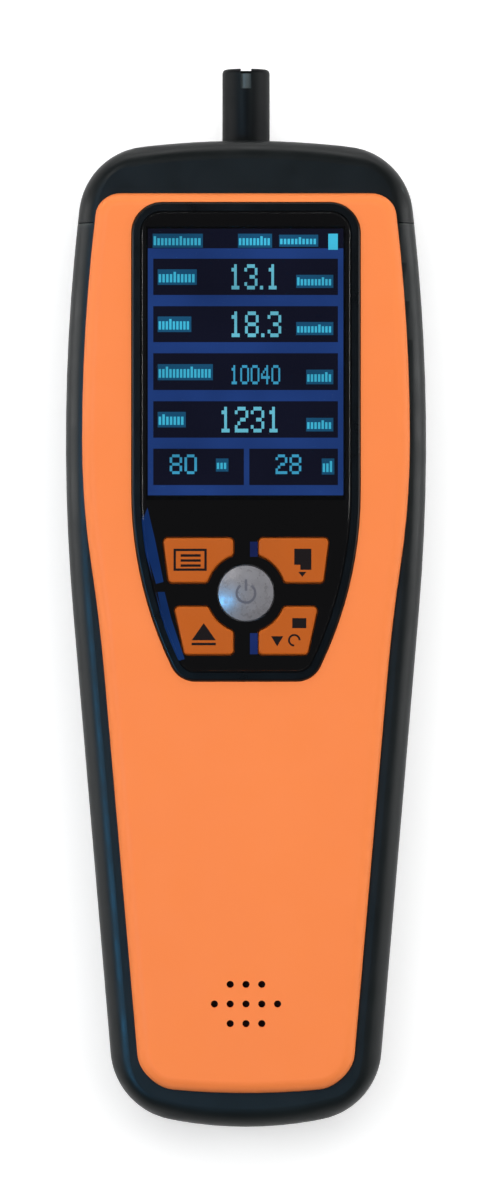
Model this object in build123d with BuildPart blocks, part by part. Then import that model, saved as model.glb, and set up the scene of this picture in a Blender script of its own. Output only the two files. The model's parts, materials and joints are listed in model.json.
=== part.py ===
from build123d import *
import os
from math import asin, degrees, radians, sqrt, tan

# Handheld airborne particle counter, lying on its back with the display up.
# X runs across it, Y from the handle's end to the air inlet, Z from the back to the display.
# The origin is on the back's plane, half-way across and half-way along. Lengths are in mm.

# ---------------------------------------------------------------- case outline, seen from the front
total_length = 222.5
inlet_reach = 15.6          # inlet standing out of the head
case_width = 75.6
widest_below_head = 63.1
flank_radius = 420.0
handle_taper = 4.85         # degrees on each side
head_crown = 3.0
tail_crown = 4.8
head_corner = 9.0
tail_corner = 9.5

# ---------------------------------------------------------------- case depth and walls
case_depth = 31.0
split_height = 17.0
wall = 2.2
plate = 2.0
back_radius = 7.0
rim_radius = 4.0
seam = 0.2
tongue_height = 2.0
tongue_gap = 0.15

# ---------------------------------------------------------------- top cap
cap_reach = 17.3
collar_length = 5.0
collar_wall = 1.4
collar_root = 3.0
collar_gap = 0.1

# ---------------------------------------------------------------- front cover
cover_side = 3.5            # case's flank to the cover's flank
cover_height = 3.0
cover_thickness = 2.0
cover_skirt = 1.8
cover_edge = 2.6
cover_from_head = 11.25
cover_from_tail = 7.35
cover_flank_radius = 400.0
shoulder_radius = 175.0
shoulder_turn = 8.6         # degrees
waist_radius = 360.0
cover_taper = 4.95          # degrees on each side
cover_crown = 1.5
cover_head_corner = 5.0
cover_tail_corner = 8.0

# ---------------------------------------------------------------- window, bezel and lens
window_from_cover = 1.9
window_side = 3.1           # display's edge to the window's edge
window_bend_from_screen = 1.8
window_flank_radius = 84.0
window_head_corner = 6.5
window_tail_corner = 5.5
bezel_gap = 0.15
bezel_rim = 1.9
bezel_proud = 0.6
bezel_edge = 0.5
bezel_flange = 1.5
bezel_flange_thickness = 0.9
bezel_ledge = 1.0
bezel_ledge_height = 2.0
lens_gap = 0.1
lens_thickness = 1.4
lens_bevel = 0.4
mask_thickness = 0.3

# ---------------------------------------------------------------- display
screen_from_window = 5.1
screen_width = 41.8
screen_length = 57.2
lcd_border = 2.3
lcd_lead_border = 6.5
lcd_fit = 0.2
glass_thickness = 1.2
backlight_thickness = 1.8
gasket_thickness = 0.3
flex_width = 22.0
flex_thickness = 0.2
flex_reach = 3.6

# ---------------------------------------------------------------- keys
button_from_screen = 19.5
button_from_window_end = 18.5
button_radius = 5.75
button_rise = 1.6
button_edge_rise = 0.9
key_rise = 1.0
key_gap = 0.3
key_corner = 0.9
key_edge = 0.4
key_inner = 2.65            # centre line to a key's inner edge
key_hollow = 8.35           # radius of the hollow round the centre button
upper_key_low = 2.2
upper_key_high = 11.5
upper_key_wide = 17.3
upper_key_narrow = 16.1
lower_key_high = 2.8
lower_key_low = 12.8
lower_key_wide = 15.0
lower_key_narrow = 12.8
key_flange = 0.8
key_flange_thickness = 0.7
key_flange_gap = 0.4
key_travel = 0.6
stem_radius = 1.6
upper_key_post_x = 10.5
upper_key_post_y = 7.2
lower_key_post_x = 9.4
lower_key_post_y = 8.0

# ---------------------------------------------------------------- switches and main board
board_thickness = 1.6
board_border = 0.8          # display's edge to the board's edge
board_from_head = 20.0
board_from_tail = 45.0
board_corner = 3.0
switch_side = 4.2
switch_height = 1.5
plunger_radius = 1.0
plunger_gap = 0.1
plunger_floor = 0.4
plunger_stand = 0.75
board_post_radius = 2.0
board_screw_radius = 1.0
board_screw_head = 1.9
board_screw_head_height = 1.2
board_screw_gap = 0.15
board_screw_bite = 2.6
board_screw_inset = 2.2
board_boss_gap = 0.5
upper_board_screw_from_button = 7.6
lower_board_screw_from_tail = 50.0

# ---------------------------------------------------------------- case screws
case_screw_radius = 1.3
case_screw_length = 10.0
case_screw_head = 2.5
case_screw_head_height = 1.6
case_screw_gap = 0.2
case_screw_sink = 4.0
case_boss_radius = 3.3
case_boss_meet = 11.0
head_boss_from_head = 29.0
waist_boss_in = 1.4
waist_boss_from_tail = 92.0
tail_boss_inset = 20.8
tail_boss_from_tail = 13.5

# ---------------------------------------------------------------- air inlet
inlet_radius = 5.0
inlet_bore = 3.0
inlet_height = 15.5         # axis above the back
inlet_edge = 0.9
inlet_slots = 3
inlet_slot_width = 2.2
inlet_slot_depth = 4.2
inlet_mouth_radius = 3.7
inlet_mouth_depth = 5.5
liner_recess = 1.0
liner_wall = 0.45
liner_fit = 0.05
inlet_neck_radius = 4.6
inlet_spigot_wall = 1.1
inlet_spigot_length = 5.0
inlet_fit = 0.1
inlet_nut_reach = 3.0
inlet_nut_thickness = 2.5
inlet_nut_fit = 0.05
seal_thickness = 1.2
seal_seat_gap = 0.2
duct_wall = 1.2
duct_fit = 0.05

# ---------------------------------------------------------------- laser sensor module
sensor_width = 40.0
sensor_length = 44.0
sensor_from_head = 24.0
sensor_height = 18.0
sensor_wall = 1.5
sensor_lid = 1.2
sensor_board_thickness = 1.0
sensor_board_inset = 3.0
port_length = 5.0
laser_radius = 2.8
laser_length = 9.0
laser_height = 9.0
laser_fit = 0.05
laser_block_width = 9.0
laser_block_length = 11.0
laser_from_port = 11.0
photodiode_side = 5.0
photodiode_height = 2.0

# ---------------------------------------------------------------- fan
fan_side = 23.0
fan_depth = 8.0
fan_duct_radius = 10.2
fan_tip_gap = 0.6
fan_hub_radius = 4.4
fan_x = 6.0
fan_from_sensor_end = 14.5
fan_blades = 7
fan_blade_thickness = 1.0
fan_blade_pitch = 32.0      # degrees
fan_bearing_radius = 2.2
fan_bearing_height = 3.0
fan_spoke_width = 1.4
fan_spoke_height = 1.0
fan_spokes = 3
shaft_radius = 0.75
shaft_fit = 0.05
rotor_lift = 0.6
rotor_wall = 0.8

# ---------------------------------------------------------------- back vents and side vents
vent_slots = 5
vent_width = 1.8
vent_length = 16.0
vent_pitch = 3.8
side_vent_slots = 4
side_vent_width = 1.4
side_vent_length = 7.0
side_vent_pitch = 3.4
side_vent_from_head = 50.0
side_vent_height = 12.0

# ---------------------------------------------------------------- battery
cell_radius = 9.2
cell_length = 66.0
battery_from_magnet = 1.0
battery_seat_gap = 0.1
battery_plug_gap = 4.0
battery_plug_width = 8.0
battery_plug_length = 5.0
battery_plug_height = 4.0
cradle_wall = 1.2
cradle_height = 6.0
cradle_gap = 0.3
cradle_length = 12.0

# ---------------------------------------------------------------- speaker
grille_from_tail = 26.1
grille_pitch_x = 3.3
grille_pitch_y = 4.1
grille_hole_radius = 0.75
speaker_radius = 10.0
speaker_height = 4.2
speaker_dome_radius = 7.0
speaker_magnet_radius = 6.0
speaker_magnet_height = 1.5
speaker_opening = 8.6
mesh_radius = 9.6
mesh_thickness = 0.4

# ---------------------------------------------------------------- charging socket
usb_width = 7.6
usb_height = 2.8
usb_length = 5.4
usb_corner = 0.8
usb_shell = 0.35
usb_opening_gap = 0.3
usb_tongue_height = 0.7
charge_board_width = 18.0
charge_board_length = 15.0
charge_board_thickness = 1.2
charge_board_height = 7.0
charge_board_gap = 0.8
charge_post_radius = 2.0
charge_post_x = 6.0

# ---------------------------------------------------------------- tripod socket
tripod_radius = 4.4
tripod_length = 8.5
tripod_bore = 2.75
tripod_depth = 7.0
tripod_boss_wall = 2.0
tripod_groove = 0.5
tripod_groove_width = 1.2

# ---------------------------------------------------------------- chips and air sensors under the board
# width, length, height, place across, and distance from the centre button towards the handle
processor_chip = (10.0, 10.0, 1.2, -8.0, 18.0)
charger_chip = (6.0, 5.0, 1.0, 8.0, 16.0)
radio_chip = (5.0, 4.0, 0.9, 9.0, 26.0)
power_coil = (4.0, 6.0, 1.6, -10.0, 32.0)
humidity_side = 5.0
humidity_height = 1.4
co2_side = 10.1
co2_height = 6.5
co2_corner = 1.0
co2_x = 12.0
co2_from_sensor = 3.0
co2_port_radius = 2.2
co2_port_depth = 0.5

# ---------------------------------------------------------------- stakes of the front cover
stake_radius = 1.1
stake_fit = 0.1
stake_length = 2.6
head_stake_from_widest = 34.0
waist_stake_from_widest = 8.0
handle_stake_inset = 13.8
handle_stake_from_grille = 38.0
tail_stake_inset = 18.3
tail_stake_from_grille = 3.0

# ================================================================ places worked out from the sizes
half_width = case_width / 2
head_end = total_length / 2 - inlet_reach
tail_end = -total_length / 2
widest_y = head_end - widest_below_head
cap_seam_y = head_end - cap_reach

cover_width = case_width - 2 * cover_side
cover_head = head_end - cover_from_head
cover_tail = tail_end + cover_from_tail
cover_top = case_depth + cover_height
cover_under = cover_top - cover_thickness

window_width = screen_width + 2 * window_side
window_head = cover_head - window_from_cover
screen_y = window_head - screen_from_window - screen_length / 2
screen_tail = screen_y - screen_length / 2
button_y = screen_tail - button_from_screen
window_tail = button_y - button_from_window_end
ledge_top = case_depth + bezel_ledge_height
lens_under = ledge_top + mask_thickness
lens_top = lens_under + lens_thickness

lcd_width = screen_width + 2 * lcd_border
lcd_head = screen_y + screen_length / 2 + lcd_border
lcd_tail = screen_tail - lcd_lead_border
lcd_length = lcd_head - lcd_tail
lcd_y = (lcd_head + lcd_tail) / 2
glass_top = case_depth - gasket_thickness
backlight_top = glass_top - glass_thickness
board_top = backlight_top - backlight_thickness
board_under = board_top - board_thickness

key_flange_top = ledge_top - key_flange_gap
key_flange_under = key_flange_top - key_flange_thickness
switch_top = board_top + switch_height
plunger_top = switch_top + plunger_stand

sensor_head = head_end - sensor_from_head
sensor_tail = sensor_head - sensor_length
sensor_y = (sensor_head + sensor_tail) / 2
sensor_lid_under = wall + sensor_height
fan_y = sensor_tail + fan_from_sensor_end
fan_under = wall + sensor_wall
rotor_under = fan_under + fan_bearing_height + rotor_lift
rotor_top = fan_under + fan_depth - rotor_lift

grille_y = tail_end + grille_from_tail
battery_tail = grille_y + speaker_magnet_radius + battery_from_magnet
battery_head = battery_tail + cell_length
battery_height = wall + battery_seat_gap + cell_radius
board_width = lcd_width + 2 * board_border
board_screw_x = board_width / 2 - board_screw_inset
board_head = head_end - board_from_head
board_tail = tail_end + board_from_tail
board_y = (board_head + board_tail) / 2
usb_under = charge_board_height + charge_board_thickness
charge_board_y = tail_end + wall + charge_board_gap + charge_board_length / 2
tripod_y = (battery_head + sensor_tail) / 2
vent_y = head_end - side_vent_from_head
co2_y = sensor_tail - co2_from_sensor - co2_side / 2

boss_x = (board_width / 2 + half_width - wall) / 2
case_screw_places = [
    (side * x, y)
    for side in (-1, 1)
    for x, y in (
        (boss_x, head_end - head_boss_from_head),
        (boss_x - waist_boss_in, tail_end + waist_boss_from_tail),
        (half_width - tail_boss_inset, tail_end + tail_boss_from_tail),
    )
]
board_screw_places = [
    (side * board_screw_x, y)
    for side in (-1, 1)
    for y in (button_y + upper_board_screw_from_button, tail_end + lower_board_screw_from_tail)
]
stake_x = (window_width / 2 + bezel_flange + cover_width / 2 - cover_skirt) / 2
stake_places = [
    (side * x, y)
    for side in (-1, 1)
    for x, y in (
        (stake_x, widest_y + head_stake_from_widest),
        (stake_x, widest_y - waist_stake_from_widest),
        (cover_width / 2 - handle_stake_inset, grille_y + handle_stake_from_grille),
        (cover_width / 2 - tail_stake_inset, grille_y + tail_stake_from_grille),
    )
]
key_posts = {
    "upper_left": (-upper_key_post_x, button_y + upper_key_post_y),
    "upper_right": (upper_key_post_x, button_y + upper_key_post_y),
    "lower_left": (-lower_key_post_x, button_y - lower_key_post_y),
    "lower_right": (lower_key_post_x, button_y - lower_key_post_y),
    "centre": (0, button_y),
}


# ================================================================ outlines shared by several pieces
def flank_offset(radius, run):
    """How far a flank of that radius comes in over a run from its widest line."""
    return radius - sqrt(radius**2 - run**2)


def case_outline(inset=0.0):
    """The case seen from the front, drawn in on every side by the inset."""
    head_y = head_end - head_crown
    head_x = half_width - flank_offset(flank_radius, head_y - widest_y)
    head_turn = degrees(asin((head_y - widest_y) / flank_radius))
    head_radius = (head_x**2 + head_crown**2) / (2 * head_crown)
    tail_y = tail_end + tail_crown
    with BuildSketch(mode=Mode.PRIVATE) as outline:
        with BuildLine():
            JernArc((0, head_end), (1, 0), head_radius, -degrees(asin(head_x / head_radius)))
            JernArc((half_width, widest_y), (0, 1), flank_radius, head_turn)
            lower = JernArc((half_width, widest_y), (0, -1), flank_radius, -handle_taper)
            tail_x = (lower @ 1).X - ((lower @ 1).Y - tail_y) * tan(radians(handle_taper))
            Line(lower @ 1, (tail_x, tail_y))
            mirror(about=Plane.YZ)
            ThreePointArc((-tail_x, tail_y), (0, tail_end), (tail_x, tail_y))
        make_face()
        fillet(outline.vertices().group_by(Axis.Y)[-1], head_corner)
        fillet(outline.vertices().group_by(Axis.Y)[0], tail_corner)
        if inset:
            offset(amount=-inset)
    return outline.sketch


def cover_outline(inset=0.0):
    """The front cover: a broad head drawn in at the shoulders to a tapering handle."""
    half = cover_width / 2
    head_x = half - flank_offset(cover_flank_radius, cover_head - widest_y)
    head_turn = degrees(asin((cover_head - widest_y) / cover_flank_radius))
    tail_y = cover_tail + cover_crown
    with BuildSketch(mode=Mode.PRIVATE) as outline:
        with BuildLine():
            JernArc((half, widest_y), (0, 1), cover_flank_radius, head_turn)
            shoulder = JernArc((half, widest_y), (0, -1), shoulder_radius, -shoulder_turn)
            waist = JernArc(shoulder @ 1, shoulder % 1, waist_radius, shoulder_turn - cover_taper)
            tail_x = (waist @ 1).X - ((waist @ 1).Y - tail_y) * tan(radians(cover_taper))
            Line(waist @ 1, (tail_x, tail_y))
            mirror(about=Plane.YZ)
            Line((-head_x, cover_head), (head_x, cover_head))
            ThreePointArc((-tail_x, tail_y), (0, cover_tail), (tail_x, tail_y))
        make_face()
        fillet(outline.vertices().group_by(Axis.Y)[-1], cover_head_corner)
        fillet(outline.vertices().group_by(Axis.Y)[0], cover_tail_corner)
        if inset:
            offset(amount=-inset)
    return outline.sketch


def window_outline(inset=0.0):
    """The window: straight beside the display, drawn in round the keys."""
    half = window_width / 2
    bend_y = screen_tail + window_bend_from_screen
    turn = degrees(asin((bend_y - window_tail) / window_flank_radius))
    tail_x = half - flank_offset(window_flank_radius, bend_y - window_tail)
    with BuildSketch(mode=Mode.PRIVATE) as outline:
        with BuildLine():
            Line((half, window_head), (half, bend_y))
            JernArc((half, bend_y), (0, -1), window_flank_radius, -turn)
            mirror(about=Plane.YZ)
            Line((-half, window_head), (half, window_head))
            Line((-tail_x, window_tail), (tail_x, window_tail))
        make_face()
        fillet(outline.vertices().group_by(Axis.Y)[-1], window_head_corner)
        fillet(outline.vertices().group_by(Axis.Y)[0], window_tail_corner)
        if inset:
            offset(amount=-inset)
    return outline.sketch


def key_outline(place, grow=0.0):
    """One of the four keys, hollowed round the centre button, or the button itself."""
    with BuildSketch(mode=Mode.PRIVATE) as outline:
        if place == "centre":
            with Locations((0, button_y)):
                Circle(button_radius + grow)
        else:
            side = -1 if place.endswith("left") else 1
            if place.startswith("upper"):
                low, low_x = button_y + upper_key_low, upper_key_narrow
                high, high_x = button_y + upper_key_high, upper_key_wide
            else:
                low, low_x = button_y - lower_key_low, lower_key_narrow
                high, high_x = button_y - lower_key_high, lower_key_wide
            corners = [(key_inner, low), (low_x, low), (high_x, high), (key_inner, high)]
            with BuildLine():
                Polyline([(side * x, y) for x, y in corners], close=True)
            make_face()
            with Locations((0, button_y)):
                Circle(key_hollow, mode=Mode.SUBTRACT)
            fillet(outline.vertices(), key_corner)
            if grow:
                offset(amount=grow)
    return outline.sketch


os.makedirs("parts", exist_ok=True)

# ================================================================ rear shell
with BuildPart() as rear_shell:
    with BuildSketch():
        add(case_outline())
    extrude(amount=split_height)
    with BuildSketch(Plane.XY.offset(wall)):
        add(case_outline(wall))
    extrude(amount=split_height - wall, mode=Mode.SUBTRACT)
    fillet(rear_shell.edges().filter_by_position(Axis.Z, wall, wall), back_radius - wall)
    fillet(rear_shell.edges().group_by(Axis.Z)[0], back_radius)
    # the rebate that takes the front frame's tongue
    with BuildSketch(Plane.XY.offset(split_height - tongue_height - tongue_gap)):
        add(case_outline(wall / 2))
    extrude(amount=tongue_height + tongue_gap, mode=Mode.SUBTRACT)
    split(bisect_by=Plane.XZ.offset(-(cap_seam_y - seam)))
    # side tabs that the top cap snaps over
    with BuildSketch(Plane.XY.offset(back_radius)):
        add(case_outline(wall / 2))
        add(case_outline(wall + collar_gap + collar_wall), mode=Mode.SUBTRACT)
        with Locations((0, cap_seam_y - seam - collar_root / 2)):
            Rectangle(case_width, collar_root, mode=Mode.INTERSECT)
    extrude(amount=split_height - tongue_height - tongue_gap - back_radius)
    with BuildSketch(Plane.XY.offset(back_radius)):
        add(case_outline(wall + collar_gap))
        add(case_outline(wall + collar_gap + collar_wall), mode=Mode.SUBTRACT)
        with Locations((0, cap_seam_y + (collar_length - seam - collar_root) / 2)):
            Rectangle(case_width, collar_length + seam + collar_root, mode=Mode.INTERSECT)
    extrude(amount=split_height - tongue_height - tongue_gap - back_radius)
    # screw bosses
    with BuildSketch(Plane.XY.offset(wall / 2)):
        with Locations(*case_screw_places):
            Circle(case_boss_radius)
    extrude(amount=case_boss_meet - wall / 2)
    with BuildSketch():
        with Locations(*case_screw_places):
            Circle(case_screw_head + case_screw_gap)
    extrude(amount=case_screw_sink, mode=Mode.SUBTRACT)
    with BuildSketch():
        with Locations(*case_screw_places):
            Circle(case_screw_radius + case_screw_gap)
    extrude(amount=case_boss_meet, mode=Mode.SUBTRACT)
    # boss of the tripod socket
    with BuildSketch(Plane.XY.offset(wall / 2)):
        with Locations((0, tripod_y)):
            Circle(tripod_radius + tripod_boss_wall)
    extrude(amount=tripod_length + plate - wall / 2)
    with BuildSketch():
        with Locations((0, tripod_y)):
            Circle(tripod_radius)
    extrude(amount=tripod_length, mode=Mode.SUBTRACT)
    # ribs at the sides and ends of the battery
    with BuildSketch(Plane.XY.offset(wall / 2)):
        for end_y in (battery_tail + cradle_length, battery_head - cradle_length):
            with Locations((-2 * cell_radius - cradle_gap - cradle_wall / 2, end_y)):
                Rectangle(cradle_wall, cradle_length)
            with Locations((2 * cell_radius + cradle_gap + cradle_wall / 2, end_y)):
                Rectangle(cradle_wall, cradle_length)
        for end_y in (battery_tail - cradle_gap - cradle_wall / 2,
                      battery_head + cradle_gap + cradle_wall / 2):
            with Locations((0, end_y)):
                Rectangle(2 * cell_radius, cradle_wall)
    extrude(amount=cradle_height + wall / 2)
    # posts of the charging board
    with BuildSketch(Plane.XY.offset(wall / 2)):
        with Locations((-charge_post_x, charge_board_y), (charge_post_x, charge_board_y)):
            Circle(charge_post_radius)
    extrude(amount=charge_board_height - wall / 2)
    # opening of the charging socket in the end wall
    with BuildSketch(Plane.XZ.offset(-tail_end - 2 * wall)):
        with Locations((0, usb_under + usb_height / 2)):
            RectangleRounded(usb_width + 2 * usb_opening_gap, usb_height + 2 * usb_opening_gap,
                             usb_corner + usb_opening_gap)
    extrude(amount=3 * wall, mode=Mode.SUBTRACT)
    # exhaust slots under the fan
    with BuildSketch():
        with Locations((fan_x, fan_y)):
            with GridLocations(0, vent_pitch, 1, vent_slots):
                SlotOverall(vent_length, vent_width)
    extrude(amount=wall, mode=Mode.SUBTRACT)
    # side slots of the humidity sensor
    with BuildSketch(Plane.YZ.offset(half_width - 2 * wall)):
        with Locations((vent_y, side_vent_height)):
            with GridLocations(side_vent_pitch, 0, side_vent_slots, 1):
                SlotOverall(side_vent_length, side_vent_width, rotation=90)
    extrude(amount=3 * wall, mode=Mode.SUBTRACT)
rear_shell.part.label = "rear_shell"
export_step(rear_shell.part, "parts/rear_shell.step")

# ================================================================ front frame
frame_under = split_height + seam
with BuildPart() as front_frame:
    with BuildSketch(Plane.XY.offset(frame_under)):
        add(case_outline())
    extrude(amount=case_depth - frame_under)
    with BuildSketch(Plane.XY.offset(frame_under)):
        add(case_outline(wall))
    extrude(amount=case_depth - plate - frame_under, mode=Mode.SUBTRACT)
    fillet(front_frame.edges().group_by(Axis.Z)[-1], rim_radius)
    # tongue inside the rear shell's rebate
    with BuildSketch(Plane.XY.offset(split_height - tongue_height)):
        add(case_outline(wall / 2 + tongue_gap))
        add(case_outline(wall), mode=Mode.SUBTRACT)
    extrude(amount=tongue_height + seam)
    split(bisect_by=Plane.XZ.offset(-(cap_seam_y - seam)))
    # side tabs that the top cap snaps over
    with BuildSketch(Plane.XY.offset(split_height + seam)):
        add(case_outline(wall / 2))
        add(case_outline(wall + collar_gap + collar_wall), mode=Mode.SUBTRACT)
        with Locations((0, cap_seam_y - seam - collar_root / 2)):
            Rectangle(case_width, collar_root, mode=Mode.INTERSECT)
    extrude(amount=case_depth - plate - split_height - seam)
    with BuildSketch(Plane.XY.offset(split_height + seam)):
        add(case_outline(wall + collar_gap))
        add(case_outline(wall + collar_gap + collar_wall), mode=Mode.SUBTRACT)
        with Locations((0, cap_seam_y + (collar_length - seam - collar_root) / 2)):
            Rectangle(case_width, collar_length + seam + collar_root, mode=Mode.INTERSECT)
    extrude(amount=case_depth - rim_radius - split_height - seam)
    # openings for the display and the keys
    with BuildSketch(Plane.XY.offset(case_depth - plate)):
        add(window_outline(bezel_rim + bezel_ledge))
        with Locations((0, lcd_y)):
            Rectangle(lcd_width + 2 * lcd_fit, lcd_length + 2 * lcd_fit)
    extrude(amount=plate, mode=Mode.SUBTRACT)
    # opening in front of the speaker
    with BuildSketch(Plane.XY.offset(case_depth - plate)):
        with Locations((0, grille_y)):
            Circle(speaker_opening)
    extrude(amount=plate, mode=Mode.SUBTRACT)
    # screw bosses of the case and posts of the main board
    with BuildSketch(Plane.XY.offset(case_boss_meet)):
        with Locations(*case_screw_places):
            Circle(case_boss_radius)
    extrude(amount=case_depth - plate / 2 - case_boss_meet)
    with BuildSketch(Plane.XY.offset(board_top)):
        with Locations(*board_screw_places):
            Circle(board_post_radius)
    extrude(amount=case_depth - plate / 2 - board_top)
    with BuildSketch(Plane.XY.offset(case_boss_meet)):
        with Locations(*case_screw_places):
            Circle(case_screw_radius)
    extrude(amount=case_screw_sink + case_screw_length + 1 - case_boss_meet, mode=Mode.SUBTRACT)
    with BuildSketch(Plane.XY.offset(board_top)):
        with Locations(*board_screw_places):
            Circle(board_screw_radius)
    extrude(amount=board_screw_bite + board_screw_gap, mode=Mode.SUBTRACT)
    # holes of the cover's stakes
    with BuildSketch(Plane.XY.offset(case_depth - plate)):
        with Locations(*stake_places):
            Circle(stake_radius + stake_fit)
    extrude(amount=plate, mode=Mode.SUBTRACT)
front_frame.part.label = "front_frame"
export_step(front_frame.part, "parts/front_frame.step")

# ================================================================ top cap
with BuildPart() as top_cap:
    with BuildSketch():
        add(case_outline())
        with Locations((0, cap_seam_y)):
            Rectangle(case_width, total_length, align=(Align.CENTER, Align.MAX), mode=Mode.SUBTRACT)
    extrude(amount=case_depth)
    with BuildSketch(Plane.XY.offset(wall)):
        add(case_outline(wall))
        with Locations((0, cap_seam_y - wall)):
            Rectangle(case_width, total_length, align=(Align.CENTER, Align.MAX), mode=Mode.SUBTRACT)
    extrude(amount=case_depth - plate - wall, mode=Mode.SUBTRACT)
    cap_edges = top_cap.edges().filter_by_position(Axis.Y, cap_seam_y + seam, head_end)
    fillet(cap_edges.filter_by_position(Axis.Z, wall, wall), back_radius - wall)
    cap_edges = top_cap.edges().filter_by_position(Axis.Y, cap_seam_y + seam, head_end)
    fillet(cap_edges.group_by(Axis.Z)[0], back_radius)
    cap_edges = top_cap.edges().filter_by_position(Axis.Y, cap_seam_y + seam, head_end)
    fillet(cap_edges.group_by(Axis.Z)[-1], rim_radius)
    with BuildSketch(Plane.XY.offset(case_depth - plate)):
        with Locations((0, lcd_y)):
            Rectangle(lcd_width + 2 * lcd_fit, lcd_length + 2 * lcd_fit)
    extrude(amount=plate, mode=Mode.SUBTRACT)
    # hole of the inlet in the head's end wall
    with BuildSketch(Plane.XZ.offset(-(head_end + wall))):
        with Locations((0, inlet_height)):
            Circle(inlet_neck_radius + inlet_fit)
    extrude(amount=3 * wall, mode=Mode.SUBTRACT)
top_cap.part.label = "top_cap"
export_step(top_cap.part, "parts/top_cap.step")

# ================================================================ front cover
with BuildPart() as front_cover:
    with BuildSketch(Plane.XY.offset(case_depth)):
        add(cover_outline())
    extrude(amount=cover_height)
    fillet(front_cover.edges().group_by(Axis.Z)[-1], cover_edge)
    with BuildSketch(Plane.XY.offset(case_depth)):
        add(cover_outline(cover_skirt))
    extrude(amount=cover_under - case_depth, mode=Mode.SUBTRACT)
    with BuildSketch(Plane.XY.offset(case_depth)):
        add(window_outline())
    extrude(amount=cover_height, mode=Mode.SUBTRACT)
    # speaker holes in rows of three, five and three
    with BuildSketch(Plane.XY.offset(case_depth)):
        with Locations((0, grille_y)):
            with GridLocations(grille_pitch_x, 2 * grille_pitch_y, 3, 2):
                Circle(grille_hole_radius)
            with GridLocations(grille_pitch_x, 0, 5, 1):
                Circle(grille_hole_radius)
    extrude(amount=cover_height, mode=Mode.SUBTRACT)
    # stakes that hold it on the front frame
    with BuildSketch(Plane.XY.offset(cover_under - stake_length)):
        with Locations(*stake_places):
            Circle(stake_radius)
    extrude(amount=stake_length)
front_cover.part.label = "front_cover"
export_step(front_cover.part, "parts/front_cover.step")

# ================================================================ air inlet, along Y
nut_y = head_end - wall - seal_seat_gap - seal_thickness
neck_end = nut_y - inlet_nut_thickness
spigot_end = neck_end - inlet_spigot_length
inlet_tip = total_length / 2
spigot_radius = inlet_bore + inlet_spigot_wall
with BuildPart() as inlet_nozzle:
    with BuildSketch(Plane.YZ):
        with BuildLine():
            Polyline(
                (inlet_tip, inlet_height + inlet_mouth_radius),
                (inlet_tip, inlet_height + inlet_radius),
                (head_end, inlet_height + inlet_radius),
                (head_end, inlet_height + inlet_neck_radius),
                (neck_end, inlet_height + inlet_neck_radius),
                (neck_end, inlet_height + spigot_radius),
                (spigot_end, inlet_height + spigot_radius),
                (spigot_end, inlet_height + inlet_bore),
                (inlet_tip - inlet_mouth_depth, inlet_height + inlet_bore),
                (inlet_tip - inlet_mouth_depth, inlet_height + inlet_mouth_radius),
                close=True,
            )
        make_face()
    revolve(axis=Axis((0, 0, inlet_height), (0, 1, 0)))
    fillet(inlet_nozzle.edges().group_by(Axis.Y)[-1].sort_by(Edge.length)[-1], inlet_edge)
    with BuildSketch(Plane.XZ.offset(-inlet_tip)):
        with Locations((0, inlet_height)):
            with PolarLocations(0, inlet_slots, start_angle=90):
                Rectangle(2 * inlet_radius, inlet_slot_width, align=(Align.MIN, Align.CENTER))
    extrude(amount=inlet_slot_depth, mode=Mode.SUBTRACT)
inlet_nozzle.part.label = "inlet_nozzle"
export_step(inlet_nozzle.part, "parts/inlet_nozzle.step")

# metal liner in the mouth, which shows through the slots
liner_radius = inlet_mouth_radius - liner_fit
with BuildPart() as inlet_liner:
    with BuildSketch(Plane.XZ.offset(-(inlet_tip - liner_recess))):
        with Locations((0, inlet_height)):
            Circle(liner_radius)
            Circle(liner_radius - liner_wall, mode=Mode.SUBTRACT)
    extrude(amount=inlet_mouth_depth - liner_recess)
inlet_liner.part.label = "inlet_liner"
export_step(inlet_liner.part, "parts/inlet_liner.step")

# ================================================================ seal and nut inside the cap
nut_reach = inlet_neck_radius + inlet_nut_reach
with BuildPart() as inlet_seal:
    with BuildSketch(Plane.XZ.offset(-nut_y)):
        with Locations((0, inlet_height)):
            Circle(nut_reach)
            Circle(inlet_neck_radius + inlet_fit, mode=Mode.SUBTRACT)
    extrude(amount=-seal_thickness)
inlet_seal.part.label = "inlet_seal"
export_step(inlet_seal.part, "parts/inlet_seal.step")

with BuildPart() as inlet_nut:
    with BuildSketch(Plane.XZ.offset(-nut_y)):
        with Locations((0, inlet_height)):
            RegularPolygon(nut_reach, 6, major_radius=False)
            Circle(inlet_neck_radius + inlet_nut_fit, mode=Mode.SUBTRACT)
    extrude(amount=inlet_nut_thickness)
inlet_nut.part.label = "inlet_nut"
export_step(inlet_nut.part, "parts/inlet_nut.step")

# ================================================================ hose from the inlet to the sensor
hose_bore = spigot_radius + duct_fit
hose_head = neck_end
hose_tail = sensor_head
with BuildPart() as inlet_hose:
    with BuildSketch(Plane.XZ.offset(-hose_head)):
        with Locations((0, inlet_height)):
            Circle(hose_bore + duct_wall)
            Circle(hose_bore, mode=Mode.SUBTRACT)
    extrude(amount=hose_head - hose_tail)
inlet_hose.part.label = "inlet_hose"
export_step(inlet_hose.part, "parts/inlet_hose.step")

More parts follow.
